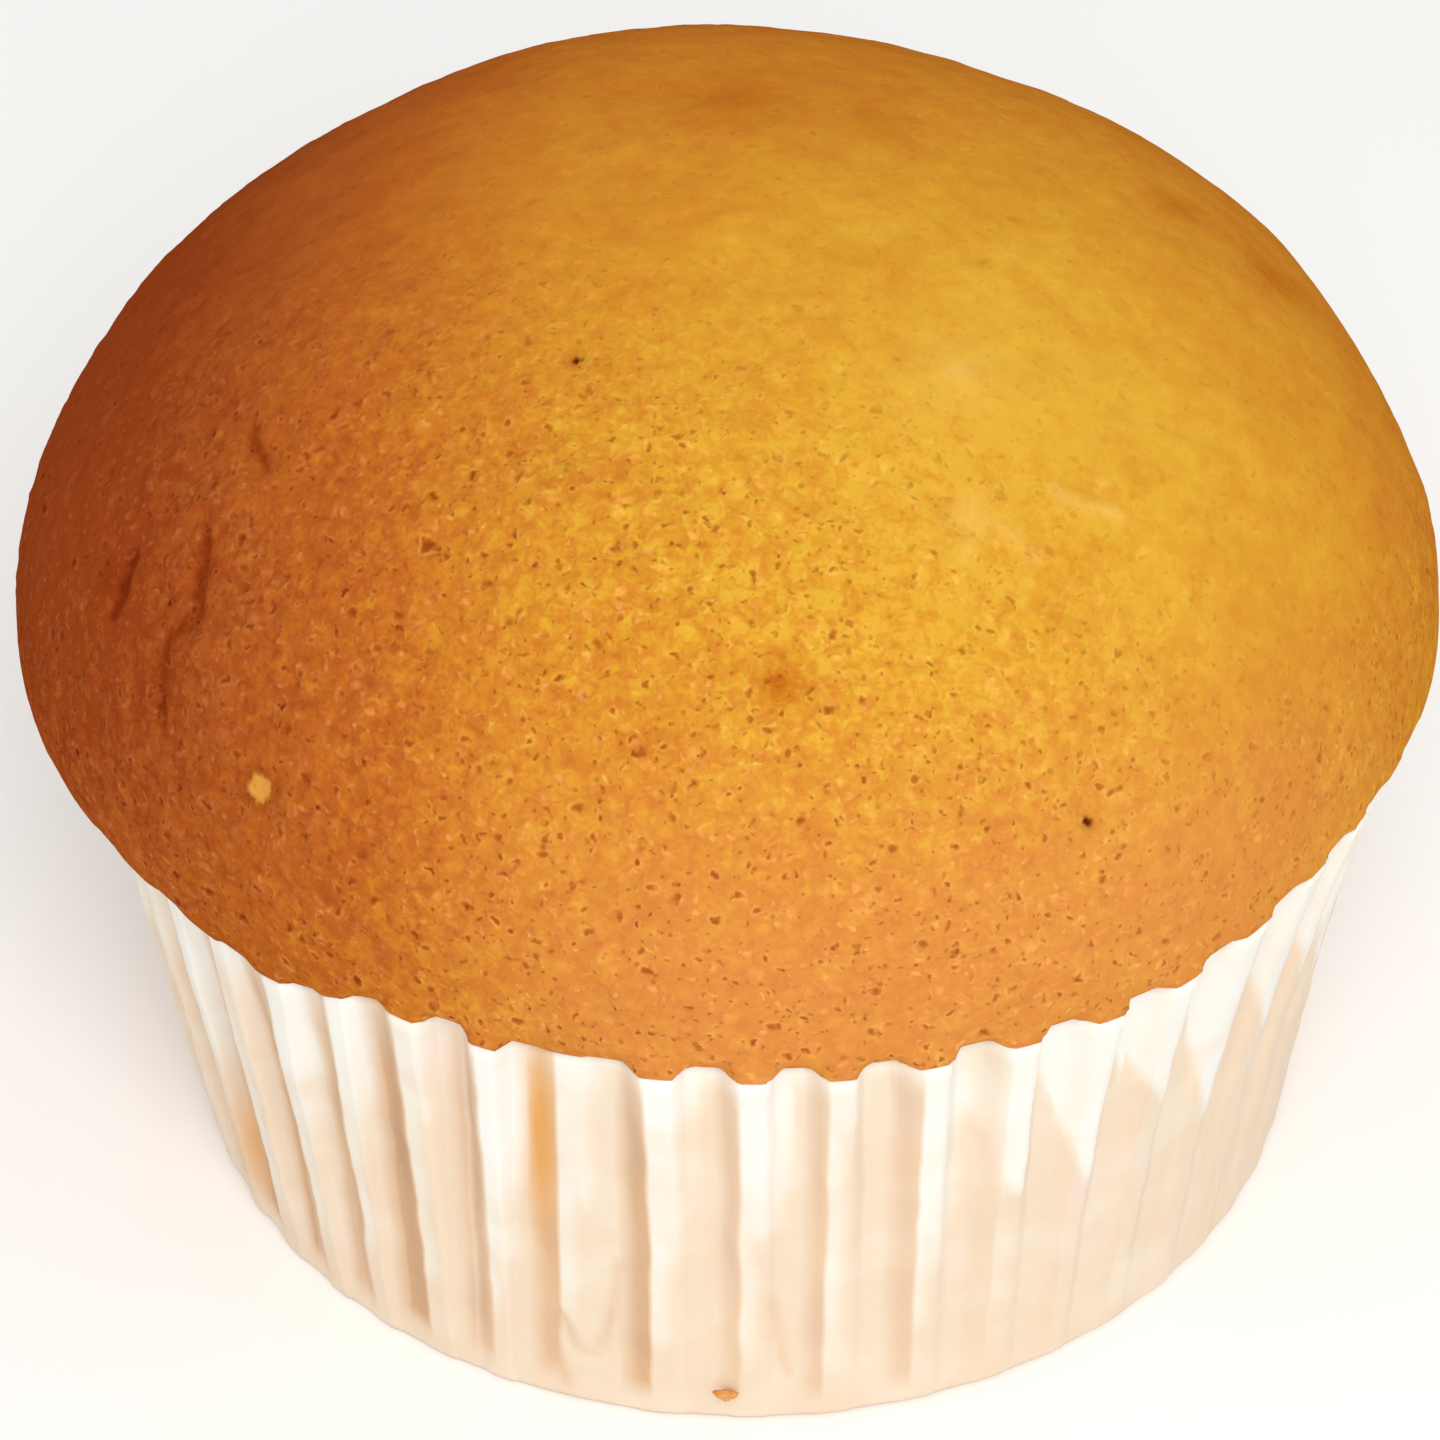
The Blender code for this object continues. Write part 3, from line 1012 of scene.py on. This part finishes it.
# %% Tan folds, pulp and sheen
sideways = add_node(tree, "SeparateXYZ", Vector=place)
on_left = fade(tree, sideways, 14 * MM, -12 * MM)
# Tan in the crevices: partly butter, partly painted shade, stronger on the left.
more_shade_on_left = add_node(tree, "Math", MULTIPLY_ADD, on_left, 0.55, 0.42)
tan_and_shade = add_node(tree, "Math", MULTIPLY, crevice_shade_and_tan, more_shade_on_left)
tan_clouds = add_node(tree, "TexNoise", Vector=place, Scale=per_metre(4.0), Detail=2.0)
tan_and_shade_colour = add_node(tree, "ValToRGB", Fac=tan_clouds)
set_stops(tan_and_shade_colour, ((0.35, "#CFA07A"), (0.5, "#DBAB84"), (0.65, "#E2B287")))
sheet_colour = add_node(tree, "Mix", BLENDED, _0=tan_and_shade, _6=sheet_colour, _7=tan_and_shade_colour).outputs[2]
# The darkest tan at the bottom of the crevices on the left is painted shade.
deepest_shade = add_node(tree, "Math", POWER, crevice_shade_and_tan, 4.0)
deepest_shade = add_node(tree, "Math", MULTIPLY, deepest_shade, on_left)
deepest_shade = add_node(tree, "Math", MULTIPLY, deepest_shade, 0.6)
sheet_colour = tint(tree, sheet_colour, deepest_shade, "#BB9069")
sheet_colour = tint(tree, sheet_colour, fat_stain, "#DE9A4E")

pulp = add_node(tree, "TexNoise", Vector=place, Scale=per_metre(0.5), Detail=2.0)
paper_look = {
    "Base Color": sheet_colour,
    "Normal": add_node(tree, "Bump", Strength=0.15, Distance=0.05 * MM, Height=pulp),
    "Roughness": 0.55,
    "IOR": 1.45,
    "Subsurface Weight": 0.25,
    "Subsurface Radius": (1.0, 0.6, 0.35),
    "Subsurface Scale": 1.0 * MM,
}
set_inputs(tree, shader, paper_look)
case.data.materials.clear()
case.data.materials.append(paper)
print("paper:", len(tree.nodes), "nodes")

# %% [markdown]
# ## Baked crust
#
# A sponge browns where it gets hottest: at the edges, and on the side that faced the oven's
# wall. The middle stays golden. So the colour follows one number, how far the crust is
# baked, which grows with the distance from a pale pool on the front right of the dome. That
# number holds painted light and shade as well as browning: the pale pool is partly a painted
# pool of light, where the lamp at the front right falls on the dome, and the dark left side
# is partly painted shade. Two stretched spherical gradients give it, one for the pool and
# one for the dark left side. Low on the front, where the crust met the damp rim of the
# paper, it stayed floury: paler and pinker. The very edge is a little paler all round. The
# skin is grainy at the front, and along the hem above the paper, and smooth behind.

# %% How far the crust is baked, with painted light and shade
LIT_PALE_POOL = (6.9, -7.9, 32), (47.4, 47.5, 48.7)
SHADED_DARK_SIDE = (-28.5, 0.5, 35.2), (23.4, 50, 24.6)
BAKED_ALL_OVER, LESS_IN_LIT_POOL, MORE_ON_SHADED_SIDE = 0.84, 1.12, 0.63

crust, tree, shader = new_material("baked_sponge_crust")
place = add_node(tree, "TexCoord").outputs["Object"]
# The pale pool is partly a painted pool of light, the dark side partly painted shade.
pale_and_lit = round_patch(tree, place, *LIT_PALE_POOL)
dark_and_shaded = round_patch(tree, place, *SHADED_DARK_SIDE)
less = add_node(tree, "Math", MULTIPLY, pale_and_lit, LESS_IN_LIT_POOL)
more = add_node(tree, "Math", MULTIPLY, dark_and_shaded, MORE_ON_SHADED_SIDE)
browning_light_and_shade = add_node(tree, "Math", SUBTRACT, BAKED_ALL_OVER, less)
browning_light_and_shade = add_node(tree, "Math", ADD, browning_light_and_shade, more)

x, y, z = add_node(tree, "SeparateXYZ", Vector=place).outputs
low = fade(tree, z, 41 * MM, 27 * MM)
in_front = fade(tree, y, -7 * MM, -24 * MM)
to_right = fade(tree, x, -17 * MM, -1 * MM)
floury = add_node(tree, "Math", MULTIPLY, low, in_front)
floury = add_node(tree, "Math", MULTIPLY, floury, to_right)
browning_light_and_shade = add_node(tree, "Math", MULTIPLY_ADD, floury, 0.09, browning_light_and_shade)
edge = fade(tree, z, 28.5 * MM, 25.5 * MM)
browning_light_and_shade = add_node(tree, "Math", MULTIPLY_ADD, edge, -0.06, browning_light_and_shade)

behind = add_node(tree, "Math", MULTIPLY_ADD, x, 0.45, y)
grainy = add_node(tree, "Math", MULTIPLY_ADD, fade(tree, behind, -3 * MM, -22 * MM), 0.8, 0.2)
hem = fade(tree, z, 38 * MM, 30 * MM)
hem = add_node(tree, "Math", MULTIPLY, hem, fade(tree, y, 12 * MM, -4 * MM))
hem = add_node(tree, "Math", MULTIPLY, hem, 0.6)
grainy = add_node(tree, "Math", MAXIMUM, grainy, hem)
print("baking:", len(tree.nodes), "nodes")

# %% [markdown]
# ## The crust's mottling and colour
#
# Noise of several sizes breaks the browning up. The two finest are held back where the skin
# is smooth. They read places that are warped a little first, because plain noise and plain
# dots look too round and even for something that a cook made. One ramp then turns the number
# into colour, from pale gold to red-brown.

# %% Mottle and colour the crust
wobble = add_node(tree, "TexNoise", Vector=place, Scale=per_metre(0.6), Detail=2.0)
offset = add_node(tree, "VectorMath", SCALE, wobble.outputs["Color"], Scale=0.8 * MM)
warped = add_node(tree, "VectorMath", ADD, place, offset)

coarse = add_node(tree, "TexNoise", Vector=warped, Scale=per_metre(0.7), Detail=2.0)
coarse = add_node(tree, "Math", MULTIPLY, swing(tree, coarse, 0.32), grainy)
fine = add_node(tree, "TexNoise", Vector=warped, Scale=per_metre(0.28), Detail=2.0)
fine = add_node(tree, "Math", MULTIPLY, swing(tree, fine, 0.22), grainy)
mottled = add_node(tree, "Math", ADD, coarse, fine)
for size_mm, reach in ((6.0, 0.10), (1.6, 0.12)):
    clouds = add_node(tree, "TexNoise", Vector=place, Scale=per_metre(size_mm), Detail=2.5)
    mottled = add_node(tree, "Math", ADD, mottled, swing(tree, clouds, reach))
browning_light_and_shade = add_node(tree, "Math", CLAMPED_ADD, browning_light_and_shade, mottled)

crust_colour = add_node(tree, "ValToRGB", Fac=browning_light_and_shade)
golden_to_brown = (
    (0.0, "#D09E32"),
    (0.1, "#CA8F2A"),
    (0.25, "#C27C26"),
    (0.4, "#B96D23"),
    (0.55, "#AE5C20"),
    (0.75, "#A04F1E"),
    (1.0, "#8E3C17"),
)
set_stops(crust_colour, golden_to_brown)
pinker = add_node(tree, "Math", MULTIPLY, floury, 0.5)
crust_colour = tint(tree, crust_colour, pinker, "#D4894C")
print("crust colours run from", golden_to_brown[0][1], "to", golden_to_brown[-1][1])

# %% [markdown]
# ## Pores, lips and flecks
#
# The skin of a sponge is full of tiny burst bubbles, about 0.4 mm across, with light flecks
# between them: partly fat and sugar, partly painted glints, as the crust has no specular
# shine of its own. A Voronoi pattern scatters one dot to a cell, and each cell's random
# colour decides its size and whether it shows. Round all but the finest pores the burst
# skin curls up in lips: wider dots in the same cells, less the pores, and broken by a noise.
# They are lighter, partly as a painted highlight where the raised rim catches the light.
# The smaller pores and the flecks are fainter on the dark side, and all fade where the skin
# is smooth.

# %% Scatter the pores, lips and flecks
# Each is the spacing in millimetres, the radius, and the share of the cells that have one.
LARGE_PORES, SMALL_PORES, FINE_PORES = (1.6, 0.20, 0.65), (0.75, 0.16, 0.8), (0.45, 0.10, 0.6)
LARGE_LIPS, SMALL_LIPS = (1.6, 0.42, 0.65), (0.75, 0.34, 0.8)
LARGE_FLECKS, SMALL_FLECKS = (1.3, 0.22, 0.5), (0.62, 0.15, 0.6)


def dots(tree, place, spacing_mm, radius_mm, share):
    """Soft round dots, one to a cell about this wide, in this share of the cells."""
    cells = add_node(tree, "TexVoronoi", Vector=place, Scale=per_metre(spacing_mm))
    chance = add_node(tree, "SeparateColor", Color=cells.outputs["Color"])
    stretch = add_node(tree, "Math", MULTIPLY_ADD, chance.outputs[1], 0.8, 0.8)
    distance = add_node(tree, "Math", MULTIPLY, cells.outputs["Distance"], stretch)
    dot = fade(tree, distance, 1.5 * radius_mm / spacing_mm, 0.2 * radius_mm / spacing_mm)
    chosen = add_node(tree, "Math", LESS_THAN, chance.outputs[0], share)
    return add_node(tree, "Math", MULTIPLY, dot, chosen)


small_share = add_node(tree, "Math", MULTIPLY_ADD, dark_and_shaded, -0.45, 0.85)
small_pores = add_node(tree, "Math", MULTIPLY, dots(tree, warped, *SMALL_PORES), small_share)
fine_share = add_node(tree, "Math", MULTIPLY_ADD, dark_and_shaded, -0.5, 0.6)
fine_pores = add_node(tree, "Math", MULTIPLY, dots(tree, warped, *FINE_PORES), fine_share)
pores = add_node(tree, "Math", MAXIMUM, dots(tree, warped, *LARGE_PORES), small_pores)
pores = add_node(tree, "Math", MAXIMUM, pores, fine_pores)

small_lips_and_glints = add_node(tree, "Math", MULTIPLY, dots(tree, warped, *SMALL_LIPS), 0.85)
lips_and_glints = add_node(tree, "Math", MAXIMUM, dots(tree, warped, *LARGE_LIPS), small_lips_and_glints)
holes = add_node(tree, "Math", MULTIPLY, pores, 1.6)
lips_and_glints = add_node(tree, "Math", CLAMPED_SUBTRACT, lips_and_glints, holes)
gaps = add_node(tree, "TexNoise", Vector=place, Scale=per_metre(0.6), Detail=2.0)
lips_and_glints = add_node(tree, "Math", MULTIPLY, lips_and_glints, fade(tree, gaps, 0.42, 0.62))

# Flecks and lips: partly fat and sugar, partly painted glints.
large_flecks_and_glints = add_node(tree, "Math", MULTIPLY, dots(tree, warped, *LARGE_FLECKS), 0.8)
flecks_and_glints = add_node(tree, "Math", MAXIMUM, large_flecks_and_glints, dots(tree, warped, *SMALL_FLECKS))
flecks_and_glints = add_node(tree, "Math", MAXIMUM, flecks_and_glints, add_node(tree, "Math", MULTIPLY, lips_and_glints, 0.9))
pores = add_node(tree, "Math", MULTIPLY, pores, grainy)
flecks_and_glints = add_node(tree, "Math", MULTIPLY, flecks_and_glints, grainy)
fleck_share = add_node(tree, "Math", MULTIPLY_ADD, dark_and_shaded, -0.7, 1.0)
flecks_and_glints = add_node(tree, "Math", MULTIPLY, flecks_and_glints, fleck_share)
print("pores and flecks:", len(tree.nodes), "nodes")

# %% [markdown]
# ## Colour for the pores and the marks
#
# Flecks add light, partly as painted glints, and pores multiply the colour by a brown,
# because a hole is darker by a share of what is round it: painted shade in holes finer than
# the mesh. The marks that were pressed into the mesh are coloured by their numbers: the dark
# ones multiply, the blotches as browner crust and the pits and creases partly as painted
# shade, and the pale ridges, the painted highlights and the torn crumb are blended in.
# Creases, pits and the torn spot get a ragged edge, from a fine noise added before a steep
# fade.


# %% Colour the pores and the marks
def darken_by(colour, share, strength, hex_colour):
    """Multiplies a colour by another, by this strength where the share is 1."""
    amount = add_node(tree, "Math", MULTIPLY, share, strength)
    return tint(tree, colour, amount, hex_colour, MULTIPLIED)


def ragged(share, start, end):
    """A soft spot made crisp, with a ragged edge."""
    frayed = add_node(tree, "TexNoise", Vector=place, Scale=per_metre(0.45), Detail=2.0)
    frayed = add_node(tree, "Math", ADD, share, swing(tree, frayed, 0.3))
    return fade(tree, frayed, start, end)


pits, creases, blotches, torn_crumb, ridge_paleness_and_highlights = (
    add_node(tree, "Attribute", {"attribute_name": name}).outputs["Fac"]
    for name in ("pit", "crease", "blotch", "torn", "pale_and_lit")
)
# Flecks and lips add painted glints as well as light fat and sugar.
crust_colour = tint(tree, crust_colour, flecks_and_glints, "#6E5435", ADDED)
# Pores: painted shade in holes finer than the mesh.
crust_colour = darken_by(crust_colour, pores, 1.0, "#C4987A")
# Pale ridges and painted highlights.
crust_colour = tint(tree, crust_colour, ridge_paleness_and_highlights, "#DDAE50")
crust_colour = darken_by(crust_colour, blotches, 0.8, "#E0B090")
# Creases and pits: partly painted shade, on top of their pressed depth.
crust_colour = darken_by(crust_colour, ragged(creases, 0.4, 0.95), 0.7, "#C6947A")
crust_colour = darken_by(crust_colour, pits, 0.5, "#B08058")
crust_colour = darken_by(crust_colour, ragged(pits, 0.4, 0.75), 1.0, "#80502F")
crust_colour = darken_by(crust_colour, torn_crumb, 0.6, "#A87850")
crust_colour = tint(tree, crust_colour, ragged(torn_crumb, 0.45, 0.75), "#CB8D3C")
print("crust colour:", len(tree.nodes), "nodes")

# %% [markdown]
# ## The skin's fine relief
#
# What is finer than the mesh is a bump: a pebbled skin with pores sunk in it and flecks
# raised. A baked crust is dry and shows no gloss, so its specular level is 0, and what shine
# it has is painted into the colour as flecks and highlights. A little light scatters under
# the skin, red furthest, as in bread.

# %% Bump and finish
pebbling = add_node(tree, "TexNoise", Vector=warped, Scale=per_metre(1.0), Detail=2.0)
relief = add_node(tree, "Math", MULTIPLY, swing(tree, pebbling, 1.0), grainy)
relief = add_node(tree, "Math", MULTIPLY_ADD, pores, -0.8, relief)
relief = add_node(tree, "Math", MULTIPLY_ADD, flecks_and_glints, 0.4, relief)
crust_look = {
    "Base Color": crust_colour,
    "Normal": add_node(tree, "Bump", Strength=0.6, Distance=0.16 * MM, Height=relief),
    "Roughness": 0.5,
    "Specular IOR Level": 0,
    "Subsurface Weight": 0.05,
    "Subsurface Radius": (1.0, 0.45, 0.15),
    "Subsurface Scale": 1.0 * MM,
}
set_inputs(tree, shader, crust_look)
cake.data.materials.clear()
cake.data.materials.append(crust)
print("crust:", len(tree.nodes), "nodes")

# %% [markdown]
# ## Torn crumb
#
# Inside, a sponge is paler than its crust, matt and full of holes. One crumb is too small
# for its holes to show, so two colours mixed by a noise are enough.

# %% The crumb's material
inside, tree, shader = new_material("sponge_crumb")
place = add_node(tree, "TexCoord").outputs["Object"]
grains = add_node(tree, "TexNoise", Vector=place, Scale=per_metre(0.5), Detail=2.0)
crumb_colour = add_node(tree, "ValToRGB", Fac=grains)
set_stops(crumb_colour, ((0.3, "#BC7733"), (0.7, "#DDA25C")))
set_inputs(tree, shader, {"Base Color": crumb_colour, "Roughness": 0.8})
crumb.data.materials.clear()
crumb.data.materials.append(inside)
print("crumb:", len(tree.nodes), "nodes")

# %% [markdown]
# ## Floor and light
#
# The floor is pale and plain. Most of the light comes from a white room, and one large soft
# lamp stands high at the front right, as in the photograph, where the right of the dome is
# bright and the left is in half shade.

# %% Floor and light
LAMP_PLACE, LAMP_SIZE, LAMP_WATTS = (0.05, -0.42, 0.42), 0.34, 2.2
ROOM_BRIGHTNESS = 0.72
FLOOR_SIZE, CLEARANCE = 6, 0.02 * MM

start_fresh()
bpy.ops.mesh.primitive_plane_add(size=FLOOR_SIZE, location=(0, 0, -CLEARANCE))
floor = bpy.context.object
floor.name = "floor"
floor_paint, tree, shader = new_material("pale_floor")
set_inputs(tree, shader, {"Base Color": linear("#F4F3F1"), "Roughness": 0.9})
floor.data.materials.append(floor_paint)
floor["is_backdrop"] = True

world = bpy.data.worlds.new("white_room")
bpy.context.scene.world = world
world.use_nodes = True
room = world.node_tree.nodes["Background"]
set_inputs(world.node_tree, room, {"Color": linear("#FFFFFF"), "Strength": ROOM_BRIGHTNESS})

bpy.ops.object.light_add(type="AREA", location=LAMP_PLACE)
lamp = bpy.context.object
lamp.name = "key_lamp"
lamp.data.shape = "DISK"
lamp.data.size = LAMP_SIZE
lamp.data.energy = LAMP_WATTS
aim = Vector((0, 0, 0.03)) - Vector(LAMP_PLACE)
lamp.rotation_euler = aim.to_track_quat("-Z", "Y").to_euler()
print("one lamp of", LAMP_WATTS, "W and a white room")

# %% [markdown]
# ## Camera
#
# The camera looks down by 39.6 degrees from 25 cm. That was worked out from how the round
# base and rim look as ovals, and its lens from how large they are in the picture.

# %% Camera
CAMERA_DISTANCE, CAMERA_TILT, AIM_HEIGHT = 250 * MM, math.radians(39.6), 18.75 * MM
FOCAL_PIXELS, PICTURE_PIXELS, SENSOR_MM = 5559, 1440, 36

eye = (
    -1.17 * MM,
    -CAMERA_DISTANCE * math.cos(CAMERA_TILT),
    AIM_HEIGHT + CAMERA_DISTANCE * math.sin(CAMERA_TILT),
)
bpy.ops.object.camera_add(location=eye, rotation=(math.pi / 2 - CAMERA_TILT, 0, 0))
camera = bpy.context.object
camera.name = "photo_camera"
camera.data.sensor_width = SENSOR_MM
camera.data.lens = FOCAL_PIXELS / PICTURE_PIXELS * SENSOR_MM
bpy.context.scene.camera = camera
bpy.context.scene.view_settings.view_transform = "Standard"
print(f"lens {camera.data.lens:.0f} mm, {CAMERA_DISTANCE / MM:.0f} mm away")

# %% [markdown]
# ## Sizes
#
# The size of the box round the finished pieces is printed.

# %% Sizes
bpy.context.view_layer.update()
low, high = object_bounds()
print("visual model:", [round((b - a) / MM, 1) for a, b in zip(low, high)], "mm")
